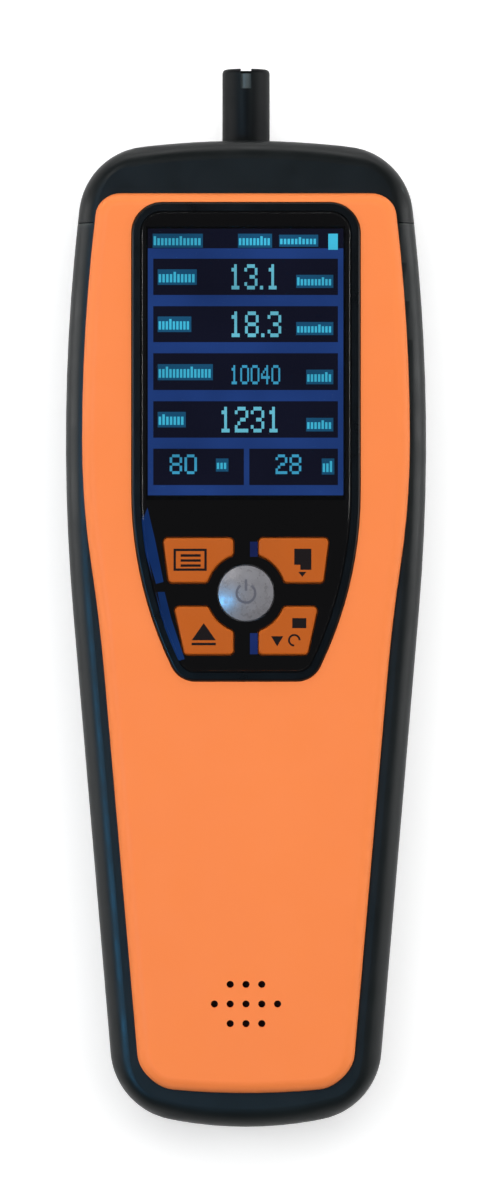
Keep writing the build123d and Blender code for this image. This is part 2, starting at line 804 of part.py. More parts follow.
# ================================================================ bezel round the window
bezel_top = cover_top + bezel_proud
with BuildPart() as display_bezel:
    with BuildSketch(Plane.XY.offset(case_depth)):
        add(window_outline(bezel_gap))
    extrude(amount=bezel_top - case_depth)
    fillet(display_bezel.edges().group_by(Axis.Z)[-1], bezel_edge)
    # flange held under the cover
    with BuildSketch(Plane.XY.offset(case_depth)):
        add(window_outline(-bezel_flange))
        add(cover_outline(cover_skirt + bezel_gap), mode=Mode.INTERSECT)
    extrude(amount=bezel_flange_thickness)
    with BuildSketch(Plane.XY.offset(ledge_top)):
        add(window_outline(bezel_rim))
    extrude(amount=bezel_top - ledge_top, mode=Mode.SUBTRACT)
    with BuildSketch(Plane.XY.offset(case_depth)):
        add(window_outline(bezel_rim + bezel_ledge))
    extrude(amount=bezel_ledge_height, mode=Mode.SUBTRACT)
display_bezel.part.label = "display_bezel"
export_step(display_bezel.part, "parts/display_bezel.step")

# ================================================================ black mask under the lens
with BuildPart() as lens_mask:
    with BuildSketch(Plane.XY.offset(ledge_top)):
        add(window_outline(bezel_rim + lens_gap))
        with Locations((0, screen_y)):
            Rectangle(screen_width, screen_length, mode=Mode.SUBTRACT)
        for place in key_posts:
            add(key_outline(place, key_gap), mode=Mode.SUBTRACT)
    extrude(amount=mask_thickness)
lens_mask.part.label = "lens_mask"
export_step(lens_mask.part, "parts/lens_mask.step")

# ================================================================ clear lens over display and keys
with BuildPart() as display_lens:
    with BuildSketch(Plane.XY.offset(lens_under)):
        add(window_outline(bezel_rim + lens_gap))
    extrude(amount=lens_thickness)
    chamfer(display_lens.edges().group_by(Axis.Z)[-1], lens_bevel)
    with BuildSketch(Plane.XY.offset(lens_under)):
        for place in key_posts:
            add(key_outline(place, key_gap))
    extrude(amount=lens_thickness, mode=Mode.SUBTRACT)
display_lens.part.label = "display_lens"
export_step(display_lens.part, "parts/display_lens.step")

# ================================================================ display module
with BuildPart() as lcd_gasket:
    with BuildSketch(Plane.XY.offset(glass_top)):
        with Locations((0, lcd_y)):
            Rectangle(lcd_width, lcd_length)
        with Locations((0, screen_y)):
            Rectangle(screen_width, screen_length, mode=Mode.SUBTRACT)
    extrude(amount=gasket_thickness)
lcd_gasket.part.label = "lcd_gasket"
export_step(lcd_gasket.part, "parts/lcd_gasket.step")

with BuildPart() as lcd_glass:
    with BuildSketch(Plane.XY.offset(backlight_top)):
        with Locations((0, lcd_y)):
            Rectangle(lcd_width, lcd_length)
    extrude(amount=glass_thickness)
lcd_glass.part.label = "lcd_glass"
export_step(lcd_glass.part, "parts/lcd_glass.step")

with BuildPart() as lcd_backlight:
    with BuildSketch(Plane.XY.offset(board_top)):
        with Locations((0, lcd_y)):
            RectangleRounded(lcd_width, lcd_length, lcd_border / 2)
    extrude(amount=backlight_thickness)
lcd_backlight.part.label = "lcd_backlight"
export_step(lcd_backlight.part, "parts/lcd_backlight.step")

# flat lead from the display's edge down to its connector on the board
flex_top = board_top + backlight_thickness / 2
with BuildPart() as lcd_lead:
    with BuildSketch(Plane.YZ.offset(-flex_width / 2)):
        with BuildLine():
            Polyline(
                (lcd_tail, flex_top),
                (lcd_tail - flex_reach / 2, flex_top),
                (lcd_tail - flex_reach / 2, board_top + flex_thickness),
                (lcd_tail - flex_reach, board_top + flex_thickness),
                (lcd_tail - flex_reach, board_top),
                (lcd_tail - flex_reach / 2 + flex_thickness, board_top),
                (lcd_tail - flex_reach / 2 + flex_thickness, flex_top - flex_thickness),
                (lcd_tail, flex_top - flex_thickness),
                close=True,
            )
        make_face()
    extrude(amount=flex_width)
lcd_lead.part.label = "lcd_lead"
export_step(lcd_lead.part, "parts/lcd_lead.step")

# ================================================================ keys, each with a stem to its switch
key_top = lens_top + key_rise
for place in key_posts:
    if place == "centre":
        continue
    with BuildPart() as key:
        with BuildSketch(Plane.XY.offset(key_flange_under)):
            add(key_outline(place))
        extrude(amount=key_top - key_flange_under)
        fillet(key.edges().group_by(Axis.Z)[-1], key_edge)
        with BuildSketch(Plane.XY.offset(key_flange_under)):
            add(key_outline(place, key_flange))
        extrude(amount=key_flange_thickness)
        with BuildSketch(Plane.XY.offset(plunger_top)):
            with Locations(key_posts[place]):
                Circle(stem_radius)
        extrude(amount=key_flange_under - plunger_top)
    key.part.label = "key_" + place
    export_step(key.part, f"parts/key_{place}.step")

# ================================================================ domed centre button
button_top = lens_top + button_rise
button_edge_top = lens_top + button_edge_rise
with BuildPart() as centre_button:
    with BuildSketch(Plane.YZ):
        with BuildLine():
            dome = ThreePointArc(
                (button_y - button_radius, button_edge_top),
                (button_y, button_top),
                (button_y + button_radius, button_edge_top),
            )
            Polyline(dome @ 1, (button_y + button_radius, key_flange_under),
                     (button_y - button_radius, key_flange_under), dome @ 0)
        make_face()
        with Locations((button_y, key_flange_under)):
            Rectangle(2 * button_radius, button_top, align=(Align.MIN, Align.MIN), mode=Mode.INTERSECT)
    revolve(axis=Axis((0, button_y, 0), (0, 0, 1)))
    with BuildSketch(Plane.XY.offset(key_flange_under)):
        with Locations((0, button_y)):
            Circle(button_radius + key_flange)
    extrude(amount=key_flange_thickness)
    with BuildSketch(Plane.XY.offset(plunger_top)):
        with Locations((0, button_y)):
            Circle(stem_radius)
    extrude(amount=key_flange_under - plunger_top)
centre_button.part.label = "centre_button"
export_step(centre_button.part, "parts/centre_button.step")

# ================================================================ tact switches and their plungers
with BuildPart() as tact_switches:
    with BuildSketch(Plane.XY.offset(board_top)):
        with Locations(*key_posts.values()):
            Rectangle(switch_side, switch_side)
    extrude(amount=switch_height)
    with BuildSketch(Plane.XY.offset(board_top + plunger_floor)):
        with Locations(*key_posts.values()):
            Circle(plunger_radius + plunger_gap)
    extrude(amount=switch_height - plunger_floor, mode=Mode.SUBTRACT)
tact_switches.part.label = "tact_switches"
export_step(tact_switches.part, "parts/tact_switches.step")

plunger_under = board_top + plunger_floor + key_travel + plunger_gap
for place, post in key_posts.items():
    with BuildPart() as plunger:
        with BuildSketch(Plane.XY.offset(plunger_under)):
            with Locations(post):
                Circle(plunger_radius)
        extrude(amount=plunger_top - plunger_under)
    plunger.part.label = "plunger_" + place
    export_step(plunger.part, f"parts/plunger_{place}.step")

# ================================================================ main board
board_length = board_head - board_tail
with BuildPart() as main_board:
    with BuildSketch(Plane.XY.offset(board_under)):
        with Locations((0, board_y)):
            RectangleRounded(board_width, board_length, board_corner)
        with Locations(*board_screw_places):
            Circle(board_screw_radius + board_screw_gap, mode=Mode.SUBTRACT)
        with Locations(*case_screw_places):
            Circle(case_boss_radius + board_boss_gap, mode=Mode.SUBTRACT)
    extrude(amount=board_thickness)
main_board.part.label = "main_board"
export_step(main_board.part, "parts/main_board.step")

with BuildPart() as board_chips:
    for chip in (processor_chip, charger_chip, radio_chip, power_coil):
        chip_width, chip_length, chip_height, chip_x, chip_from_button = chip
        with BuildSketch(Plane.XY.offset(board_under - chip_height)):
            with Locations((chip_x, button_y - chip_from_button)):
                Rectangle(chip_width, chip_length)
        extrude(amount=chip_height)
board_chips.part.label = "board_chips"
export_step(board_chips.part, "parts/board_chips.step")

with BuildPart() as humidity_sensor:
    with BuildSketch(Plane.XY.offset(board_under - humidity_height)):
        with Locations(((board_width - humidity_side) / 2, vent_y)):
            Rectangle(humidity_side, humidity_side)
    extrude(amount=humidity_height)
humidity_sensor.part.label = "humidity_sensor"
export_step(humidity_sensor.part, "parts/humidity_sensor.step")

with BuildPart() as co2_sensor:
    with BuildSketch(Plane.XY.offset(board_under - co2_height)):
        with Locations((co2_x, co2_y)):
            RectangleRounded(co2_side, co2_side, co2_corner)
    extrude(amount=co2_height)
    with BuildSketch(Plane.XY.offset(board_under - co2_height)):
        with Locations((co2_x, co2_y)):
            Circle(co2_port_radius)
    extrude(amount=co2_port_depth, mode=Mode.SUBTRACT)
co2_sensor.part.label = "co2_sensor"
export_step(co2_sensor.part, "parts/co2_sensor.step")

with BuildPart() as board_screws:
    with BuildSketch(Plane.XY.offset(board_under - board_screw_head_height)):
        with Locations(*board_screw_places):
            Circle(board_screw_head)
    extrude(amount=board_screw_head_height)
    with BuildSketch(Plane.XY.offset(board_under)):
        with Locations(*board_screw_places):
            Circle(board_screw_radius)
    extrude(amount=board_thickness + board_screw_bite)
board_screws.part.label = "board_screws"
export_step(board_screws.part, "parts/board_screws.step")

# ================================================================ case screws
with BuildPart() as case_screws:
    with BuildSketch(Plane.XY.offset(case_screw_sink - case_screw_head_height)):
        with Locations(*case_screw_places):
            Circle(case_screw_head)
    extrude(amount=case_screw_head_height)
    with BuildSketch(Plane.XY.offset(case_screw_sink)):
        with Locations(*case_screw_places):
            Circle(case_screw_radius)
    extrude(amount=case_screw_length)
case_screws.part.label = "case_screws"
export_step(case_screws.part, "parts/case_screws.step")

# ================================================================ threaded tripod insert
with BuildPart() as tripod_insert:
    with BuildSketch():
        with Locations((0, tripod_y)):
            Circle(tripod_radius)
    extrude(amount=tripod_length)
    with BuildSketch(Plane.XY.offset((tripod_length - tripod_groove_width) / 2)):
        with Locations((0, tripod_y)):
            Circle(tripod_radius)
            Circle(tripod_radius - tripod_groove, mode=Mode.SUBTRACT)
    extrude(amount=tripod_groove_width, mode=Mode.SUBTRACT)
    with BuildSketch():
        with Locations((0, tripod_y)):
            Circle(tripod_bore)
    extrude(amount=tripod_depth, mode=Mode.SUBTRACT)
tripod_insert.part.label = "tripod_insert"
export_step(tripod_insert.part, "parts/tripod_insert.step")

# ================================================================ battery
with BuildPart() as battery_pack:
    with BuildSketch(Plane.XZ.offset(-battery_tail)):
        with Locations((0, battery_height)):
            SlotOverall(4 * cell_radius, 2 * cell_radius)
    extrude(amount=-cell_length)
battery_pack.part.label = "battery_pack"
export_step(battery_pack.part, "parts/battery_pack.step")

with BuildPart() as battery_plug:
    with BuildSketch(Plane.XY.offset(board_under - battery_plug_height)):
        with Locations((0, battery_head + battery_plug_gap)):
            Rectangle(battery_plug_width, battery_plug_length, align=(Align.CENTER, Align.MIN))
    extrude(amount=battery_plug_height)
battery_plug.part.label = "battery_plug"
export_step(battery_plug.part, "parts/battery_plug.step")

# ================================================================ speaker and its mesh
with BuildPart() as speaker:
    with BuildSketch(Plane.XY.offset(case_depth - plate - speaker_height)):
        with Locations((0, grille_y)):
            Circle(speaker_radius)
    extrude(amount=speaker_height)
    with BuildSketch(Plane.XY.offset(case_depth - plate - speaker_height / 2)):
        with Locations((0, grille_y)):
            Circle(speaker_opening)
    extrude(amount=speaker_height / 2, taper=-30, mode=Mode.SUBTRACT)
    with BuildSketch(Plane.XY.offset(case_depth - plate - speaker_height - speaker_magnet_height)):
        with Locations((0, grille_y)):
            Circle(speaker_magnet_radius)
    extrude(amount=speaker_magnet_height)
speaker.part.label = "speaker"
export_step(speaker.part, "parts/speaker.step")

with BuildPart() as speaker_mesh:
    with BuildSketch(Plane.XY.offset(case_depth)):
        with Locations((0, grille_y)):
            Circle(mesh_radius)
    extrude(amount=mesh_thickness)
speaker_mesh.part.label = "speaker_mesh"
export_step(speaker_mesh.part, "parts/speaker_mesh.step")

# ================================================================ charging socket on its board
with BuildPart() as charge_board:
    with BuildSketch(Plane.XY.offset(charge_board_height)):
        with Locations((0, charge_board_y)):
            Rectangle(charge_board_width, charge_board_length)
    extrude(amount=charge_board_thickness)
charge_board.part.label = "charge_board"
export_step(charge_board.part, "parts/charge_board.step")

usb_tail = tail_end + wall / 2
with BuildPart() as charge_socket:
    with BuildSketch(Plane.XZ.offset(-usb_tail)):
        with Locations((0, usb_under + usb_height / 2)):
            RectangleRounded(usb_width, usb_height, usb_corner)
            RectangleRounded(usb_width - 2 * usb_shell, usb_height - 2 * usb_shell,
                             usb_corner - usb_shell, mode=Mode.SUBTRACT)
    extrude(amount=-usb_length)
    with BuildSketch(Plane.XZ.offset(-(usb_tail + usb_length))):
        with Locations((0, usb_under + usb_height / 2)):
            RectangleRounded(usb_width, usb_height, usb_corner)
    extrude(amount=usb_shell)
    with BuildSketch(Plane.XZ.offset(-(usb_tail + usb_length))):
        with Locations((0, usb_under + usb_height / 2)):
            Rectangle(usb_width - 6 * usb_shell, usb_tongue_height)
    extrude(amount=usb_length * 3 / 4)
charge_socket.part.label = "charge_socket"
export_step(charge_socket.part, "parts/charge_socket.step")

# ================================================================ laser sensor module
with BuildPart() as sensor_housing:
    with BuildSketch(Plane.XY.offset(wall)):
        with Locations((0, sensor_y)):
            Rectangle(sensor_width, sensor_length)
    extrude(amount=sensor_height)
    with BuildSketch(Plane.XY.offset(wall + sensor_wall)):
        with Locations((0, sensor_y)):
            Rectangle(sensor_width - 2 * sensor_wall, sensor_length - 2 * sensor_wall)
    extrude(amount=sensor_height - sensor_wall, mode=Mode.SUBTRACT)
    # block that holds the laser
    with Locations((-sensor_width / 2 + sensor_wall + laser_block_width / 2,
                    sensor_head - laser_from_port, wall + sensor_wall)):
        Box(laser_block_width, laser_block_length, laser_height, align=(Align.CENTER, Align.CENTER, Align.MIN))
    with BuildSketch(Plane.YZ.offset(-sensor_width / 2 + sensor_wall)):
        with Locations((sensor_head - laser_from_port, wall + sensor_wall + laser_height)):
            Circle(laser_radius + laser_fit)
    extrude(amount=laser_block_width, mode=Mode.SUBTRACT)
    # port of the inlet hose
    with BuildSketch(Plane.XZ.offset(-sensor_head)):
        with Locations((0, inlet_height)):
            Circle(spigot_radius)
    extrude(amount=-port_length)
    with BuildSketch(Plane.XZ.offset(-(sensor_head + port_length))):
        with Locations((0, inlet_height)):
            Circle(inlet_bore)
    extrude(amount=port_length + sensor_wall, mode=Mode.SUBTRACT)
    # exhaust opening under the fan
    with BuildSketch(Plane.XY.offset(wall)):
        with Locations((fan_x, fan_y)):
            Circle(fan_duct_radius - rotor_wall)
    extrude(amount=sensor_wall, mode=Mode.SUBTRACT)
sensor_housing.part.label = "sensor_housing"
export_step(sensor_housing.part, "parts/sensor_housing.step")

with BuildPart() as sensor_lid_plate:
    with BuildSketch(Plane.XY.offset(sensor_lid_under)):
        with Locations((0, sensor_y)):
            Rectangle(sensor_width, sensor_length)
    extrude(amount=sensor_lid)
sensor_lid_plate.part.label = "sensor_lid"
export_step(sensor_lid_plate.part, "parts/sensor_lid.step")

with BuildPart() as sensor_board:
    with BuildSketch(Plane.XY.offset(sensor_lid_under + sensor_lid)):
        with Locations((0, sensor_y)):
            Rectangle(sensor_width - 2 * sensor_board_inset, sensor_length - 2 * sensor_board_inset)
    extrude(amount=sensor_board_thickness)
sensor_board.part.label = "sensor_board"
export_step(sensor_board.part, "parts/sensor_board.step")

with BuildPart() as laser_diode:
    with BuildSketch(Plane.YZ.offset(-sensor_width / 2 + sensor_wall)):
        with Locations((sensor_head - laser_from_port, wall + sensor_wall + laser_height)):
            Circle(laser_radius)
    extrude(amount=laser_length)
laser_diode.part.label = "laser_diode"
export_step(laser_diode.part, "parts/laser_diode.step")

with BuildPart() as photodiode:
    with BuildSketch(Plane.XY.offset(wall + sensor_wall)):
        with Locations((0, sensor_head - laser_from_port)):
            Rectangle(photodiode_side, photodiode_side)
    extrude(amount=photodiode_height)
photodiode.part.label = "photodiode"
export_step(photodiode.part, "parts/photodiode.step")

# ================================================================ fan, its axis along Z
with BuildPart() as fan_frame:
    with BuildSketch(Plane.XY.offset(fan_under)):
        with Locations((fan_x, fan_y)):
            Rectangle(fan_side, fan_side)
            Circle(fan_duct_radius, mode=Mode.SUBTRACT)
    extrude(amount=fan_depth)
    with BuildSketch(Plane.XY.offset(fan_under)):
        with Locations((fan_x, fan_y)):
            with PolarLocations(0, fan_spokes):
                Rectangle(fan_duct_radius + fan_spoke_width, fan_spoke_width, align=(Align.MIN, Align.CENTER))
            Circle(fan_bearing_radius)
    extrude(amount=fan_spoke_height)
    with BuildSketch(Plane.XY.offset(fan_under)):
        with Locations((fan_x, fan_y)):
            Circle(fan_bearing_radius)
    extrude(amount=fan_bearing_height)
    with BuildSketch(Plane.XY.offset(fan_under)):
        with Locations((fan_x, fan_y)):
            Circle(shaft_radius + shaft_fit)
    extrude(amount=fan_bearing_height, mode=Mode.SUBTRACT)
fan_frame.part.label = "fan_frame"
export_step(fan_frame.part, "parts/fan_frame.step")

blade_height = rotor_top - rotor_under
with BuildPart() as fan_rotor:
    with BuildSketch(Plane.XY.offset(rotor_under)):
        with Locations((fan_x, fan_y)):
            Circle(fan_hub_radius)
    extrude(amount=blade_height)
    for turn in range(fan_blades):
        hub = Plane((fan_x, fan_y, rotor_under)).rotated((0, 0, turn * 360 / fan_blades))
        with BuildSketch(Plane(hub.origin, x_dir=hub.y_dir, z_dir=hub.x_dir)):
            with Locations((0, blade_height / 2)):
                Rectangle(fan_blade_thickness, blade_height, rotation=fan_blade_pitch)
                Rectangle(4 * fan_blade_thickness, blade_height, mode=Mode.INTERSECT)
        extrude(amount=fan_duct_radius - fan_tip_gap)
    with BuildSketch(Plane.XY.offset(fan_under)):
        with Locations((fan_x, fan_y)):
            Circle(shaft_radius)
    extrude(amount=rotor_under - fan_under)
fan_rotor.part.label = "fan_rotor"
export_step(fan_rotor.part, "parts/fan_rotor.step")
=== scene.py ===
import json
import math

import bmesh
import bpy
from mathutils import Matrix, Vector


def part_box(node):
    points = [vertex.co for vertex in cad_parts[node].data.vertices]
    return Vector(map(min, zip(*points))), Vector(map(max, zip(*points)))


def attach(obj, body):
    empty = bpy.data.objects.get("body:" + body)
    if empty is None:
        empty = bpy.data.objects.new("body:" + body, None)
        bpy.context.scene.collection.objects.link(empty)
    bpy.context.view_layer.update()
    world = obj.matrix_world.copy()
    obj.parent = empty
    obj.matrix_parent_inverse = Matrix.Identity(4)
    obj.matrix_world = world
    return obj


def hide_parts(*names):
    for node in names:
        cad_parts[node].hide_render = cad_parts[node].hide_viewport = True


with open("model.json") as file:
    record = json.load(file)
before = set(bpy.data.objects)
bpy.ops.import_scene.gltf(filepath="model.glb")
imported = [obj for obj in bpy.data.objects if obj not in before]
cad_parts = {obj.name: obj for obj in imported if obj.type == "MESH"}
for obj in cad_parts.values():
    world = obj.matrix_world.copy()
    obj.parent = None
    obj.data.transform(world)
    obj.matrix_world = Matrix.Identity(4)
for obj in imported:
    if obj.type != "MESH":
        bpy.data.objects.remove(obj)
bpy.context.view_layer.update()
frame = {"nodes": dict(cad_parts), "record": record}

# Looks of the handheld particle counter: materials of the CAD pieces, the lit screen, the prints on
# the keys, the stage, the lights and the camera. Lengths are in metres.

nodes = frame["nodes"]
MM = 0.001

# ---------------------------------------------------------------- the photograph's frame
PHOTO_WIDTH, PHOTO_HEIGHT = 501, 1200
PX_PER_MM = 4.761             # size of the object in the photograph
CENTRE_PX = (246.0, 596.6)    # the case's middle in the photograph
LENS = 250.0                  # mm, on a sensor whose 36 mm are the image's long side
SENSOR = 36.0


def photo_x(px):
    """X on the object of a column of the photograph."""
    return (px - CENTRE_PX[0]) / PX_PER_MM * MM


def photo_y(py):
    """Y on the object of a row of the photograph."""
    return (CENTRE_PX[1] - py) / PX_PER_MM * MM


# ================================================================ materials
def srgb(red, green, blue):
    """A linear colour from 0-255 display values."""
    def linear(value):
        value = value / 255
        return value / 12.92 if value <= 0.04045 else ((value + 0.055) / 1.055) ** 2.4
    return (linear(red), linear(green), linear(blue), 1.0)


class Nodes:
    """A material's node tree, with short calls to add and link nodes."""

    def __init__(self, name):
        self.material = bpy.data.materials.new(name)
        self.material.use_nodes = True
        self.tree = self.material.node_tree
        self.shader = self.tree.nodes["Principled BSDF"]
        self.output = self.tree.nodes["Material Output"]

    def add(self, kind, **values):
        node = self.tree.nodes.new(kind)
        for key, value in values.items():
            if hasattr(node, key):
                setattr(node, key, value)
            else:
                node.inputs[key.replace("_", " ")].default_value = value
        return node

    def link(self, source, target):
        self.tree.links.new(source, target)

    def noise(self, scale, detail=2.0, roughness=0.5):
        coordinates = self.add("ShaderNodeTexCoord")
        noise = self.add("ShaderNodeTexNoise", Scale=scale, Detail=detail, Roughness=roughness)
        self.link(coordinates.outputs["Object"], noise.inputs["Vector"])
        return noise.outputs["Fac"]

    def spread(self, source, low, high, from_low=0.3, from_high=0.7):
        """The source's values from from_low to from_high, mapped to low to high."""
        mapped = self.add("ShaderNodeMapRange", From_Min=from_low, From_Max=from_high,
                          To_Min=low, To_Max=high)
        self.link(source, mapped.inputs["Value"])
        return mapped.outputs["Result"]

    def mix(self, factor, first, second):
        """Colour first where the factor is 0, second where it is 1."""
        mixed = self.add("ShaderNodeMix", data_type="RGBA")
        for value, name in ((first, "A_Color"), (second, "B_Color")):
            socket = next(s for s in mixed.inputs if s.identifier == name)
            if isinstance(value, tuple):
                socket.default_value = value
            else:
                self.link(value, socket)
        self.link(factor, next(s for s in mixed.inputs if s.identifier == "Factor_Float"))
        return next(s for s in mixed.outputs if s.identifier == "Result_Color")

    def bump(self, source, strength, distance=0.0001):
        bump = self.add("ShaderNodeBump", Strength=strength, Distance=distance)
        self.link(source, bump.inputs["Height"])
        self.link(bump.outputs["Normal"], self.shader.inputs["Normal"])


def shade(colour, factor):
    """The colour made darker or lighter by the factor."""
    return tuple(min(1.0, c * factor) for c in colour[:3]) + (1.0,)


def moulded(name, colour, roughness, grain=0.12, grain_scale=2600, spot=0.06, gloss=0.5, edge_sheen=None):
    """Moulded plastic: a fine eroded grain, faint clouding, and a painted sheen: a paler colour on the
    rounded edges away from the level faces, standing in for their highlight.
    """
    made = Nodes(name)
    cloud = made.noise(45, 3.0)
    base = made.mix(made.spread(cloud, 0, 1), shade(colour, 1 - spot), shade(colour, 1 + spot))
    # painted sheen: a paler colour laid on convex edges that turn away from the level faces stands in for
    # the highlight there
    if edge_sheen:
        geometry = made.add("ShaderNodeNewGeometry")
        edge = made.spread(geometry.outputs["Pointiness"], 0, 1, 0.53, 0.62)
        facing = made.add("ShaderNodeTexCoord")
        split = made.add("ShaderNodeSeparateXYZ")
        made.link(facing.outputs["Normal"], split.inputs["Vector"])
        level = made.add("ShaderNodeMath", operation="ABSOLUTE")
        made.link(split.outputs["Z"], level.inputs[0])
        edge_sheen_mask = made.add("ShaderNodeMath", operation="MULTIPLY")
        made.link(edge, edge_sheen_mask.inputs[0])
        made.link(made.spread(level.outputs[0], 1, 0, 0.95, 0.998), edge_sheen_mask.inputs[1])
        base = made.mix(edge_sheen_mask.outputs[0], base, edge_sheen)
    made.link(base, made.shader.inputs["Base Color"])
    smudge = made.noise(160, 4.0, 0.6)
    made.link(made.spread(smudge, roughness - 0.05, roughness + 0.07), made.shader.inputs["Roughness"])
    made.shader.inputs["Specular IOR Level"].default_value = gloss
    made.bump(made.noise(grain_scale, 2.0), grain)
    return made.material


def metal(name, colour, roughness, brushed=0.0):
    """Plated or turned metal with fine scratches."""
    made = Nodes(name)
    made.shader.inputs["Metallic"].default_value = 1.0
    cloud = made.noise(300, 3.0)
    made.link(made.mix(made.spread(cloud, 0, 1), shade(colour, 0.93), shade(colour, 1.05)),
              made.shader.inputs["Base Color"])
    made.link(made.spread(made.noise(900, 3.0), roughness - 0.05, roughness + 0.08),
              made.shader.inputs["Roughness"])
    made.bump(made.noise(2200, 2.0), 0.05 + brushed)
    return made.material


def glow(name, colour, strength, variation=0.12):
    """A glowing area, a little uneven like a backlight: the lit screen, and the painted reflections on the
    mask.
    """
    made = Nodes(name)
    made.shader.inputs["Base Color"].default_value = (0.0, 0.0, 0.0, 1.0)
    made.shader.inputs["Roughness"].default_value = 0.4
    made.shader.inputs["Specular IOR Level"].default_value = 0.0
    cloud = made.spread(made.noise(60, 2.0), 0, 1)
    uneven = made.mix(cloud, shade(colour, 1 - variation), shade(colour, 1 + variation))
    made.link(uneven, made.shader.inputs["Emission Color"])
    made.shader.inputs["Emission Strength"].default_value = strength
    return made.material


def clear_panel(name):
    """The clear acrylic panel: smooth, with faint wiping marks."""
    made = Nodes(name)
    made.shader.inputs["Base Color"].default_value = (0.97, 0.98, 1.0, 1.0)
    made.shader.inputs["Transmission Weight"].default_value = 1.0
    made.shader.inputs["IOR"].default_value = 1.49
    made.link(made.spread(made.noise(70, 5.0, 0.7), 0.0, 0.04), made.shader.inputs["Roughness"])
    return made.material


def pearl(name, colour, roughness):
    """Silver paint with a fine flake, a little cloudy."""
    made = Nodes(name)
    made.shader.inputs["Metallic"].default_value = 0.35
    cloud = made.noise(420, 3.0, 0.6)
    base = made.mix(made.spread(cloud, 0, 1), shade(colour, 0.82), shade(colour, 1.10))
    flake = made.noise(5200, 1.0)
    made.link(made.mix(made.spread(flake, 0, 0.35), base, shade(colour, 1.35)),
              made.shader.inputs["Base Color"])
    made.link(made.spread(made.noise(900, 3.0), roughness - 0.05, roughness + 0.08),
              made.shader.inputs["Roughness"])
    made.bump(made.noise(2600, 2.0), 0.06)
    return made.material


looks = {
    "cover_orange": moulded("cover_orange", srgb(255, 138, 70), 0.52, 0.10, 2200, 0.015, gloss=0.3),
    # the paler edge colours of the black parts are painted sheen on their rounded edges
    "case_black": moulded("case_black", srgb(18, 23, 24), 0.38, 0.16, 2600, 0.10,
                          gloss=0.42, edge_sheen=srgb(56, 66, 64)),
    "cap_black": moulded("cap_black", srgb(14, 18, 19), 0.36, 0.12, 2600, 0.10,
                          gloss=0.36, edge_sheen=srgb(44, 52, 52)),
    "inlet_black": moulded("inlet_black", srgb(9, 12, 14), 0.46, 0.08, 2600, 0.10,
                          gloss=0.16, edge_sheen=srgb(34, 40, 40)),
    "seal_rubber": moulded("seal_rubber", srgb(22, 22, 22), 0.75, 0.2, 3000, 0.10),
    "bezel_black": moulded("bezel_black", srgb(8, 9, 10), 0.30, 0.02, 900, 0.05, gloss=0.3),
    "mask_black": moulded("mask_black", srgb(32, 32, 33), 0.40, 0.02, 900, 0.05),
    "screen": moulded("screen", srgb(10, 12, 22), 0.40, 0.02, 900, 0.05),
    "backlight_white": moulded("backlight_white", srgb(228, 228, 224), 0.5),
    "lead_amber": moulded("lead_amber", srgb(180, 122, 50), 0.35, 0.04),
    "key_orange": moulded("key_orange", srgb(188, 92, 24), 0.46, 0.08, 2600, 0.05, gloss=0.12),
    "switch_black": moulded("switch_black", srgb(24, 24, 25), 0.5),
    "board_green": moulded("board_green", srgb(28, 98, 56), 0.4, 0.05, 1200),
    "chip_black": moulded("chip_black", srgb(24, 24, 26), 0.55),
    "sensor_white": moulded("sensor_white", srgb(230, 230, 226), 0.5),
    "sensor_grey": moulded("sensor_grey", srgb(88, 90, 93), 0.5, 0.15),
    "fan_black": moulded("fan_black", srgb(28, 28, 30), 0.42, 0.06),
    "battery_wrap": moulded("battery_wrap", srgb(42, 96, 170), 0.3, 0.04),
    "speaker_black": moulded("speaker_black", srgb(12, 12, 12), 0.7, 0.3),
    "screw_steel": metal("screw_steel", srgb(92, 94, 96), 0.38),
    "socket_steel": metal("socket_steel", srgb(176, 178, 180), 0.28),
    "brass": metal("brass", srgb(205, 165, 92), 0.3),
    "button_silver": pearl("button_silver", srgb(138, 137, 142), 0.28),
    "liner_steel": pearl("liner_steel", srgb(84, 94, 96), 0.35),
    "lens_clear": clear_panel("lens_clear"),
}
# a faint painted glow on the mask behind the clear panel stands in for the light the panel keeps from it,
# so the print behind it does not go fully black
mask_painted_glow = looks["mask_black"].node_tree.nodes["Principled BSDF"]
mask_painted_glow.inputs["Emission Color"].default_value = srgb(14, 14, 15)
mask_painted_glow.inputs["Emission Strength"].default_value = 1.0
for part in frame["record"]["subparts"]:
    piece = nodes[part["node"]]
    piece.data.materials.clear()
    piece.data.materials.append(looks[part["material_slot"]])


# ================================================================ the case with rounder corners
# The case's outline seen from the front, in millimetres, as the CAD pieces have it. The photograph's
# corners are rounder, so the four pieces of the case are shown as copies drawn in at the corners.
HALF_WIDTH, WIDEST_Y, FLANK_RADIUS = 37.8, 32.55, 420.0
HEAD_END, HEAD_RADIUS = 95.65, 188.293
TAIL_END, TAIL_RADIUS = -111.25, 81.261
HANDLE_TAPER = math.radians(4.85)
CAD_CORNERS = (9.0, 9.5)      # radii at the head and at the tail
SEEN_CORNERS = (15.0, 15.5)
HEAD_ZONE, TAIL_ZONE = 18, 22  # how far the corners reach from each end
# in metres, for the meshes of the copies
LONGEST_EDGE = 0.0011         # in the corners
MIDDLE = 0.006                # half the width in which edges stay long
MOST_FACES, MOST_PASSES = 60000, 9
TURN_STEP = 0.00002           # run over which a normal's turn is measured
LEAST_SLOPE = 0.05            # keeps a normal from being divided by nearly nothing


def meet(gap, low, high):
    """Where the gap between two curves closes."""
    rising = gap(low) < 0
    for _ in range(40):
        middle = (low + high) / 2
        if (gap(middle) < 0) == rising:
            low = middle
        else:
            high = middle
    return (low + high) / 2


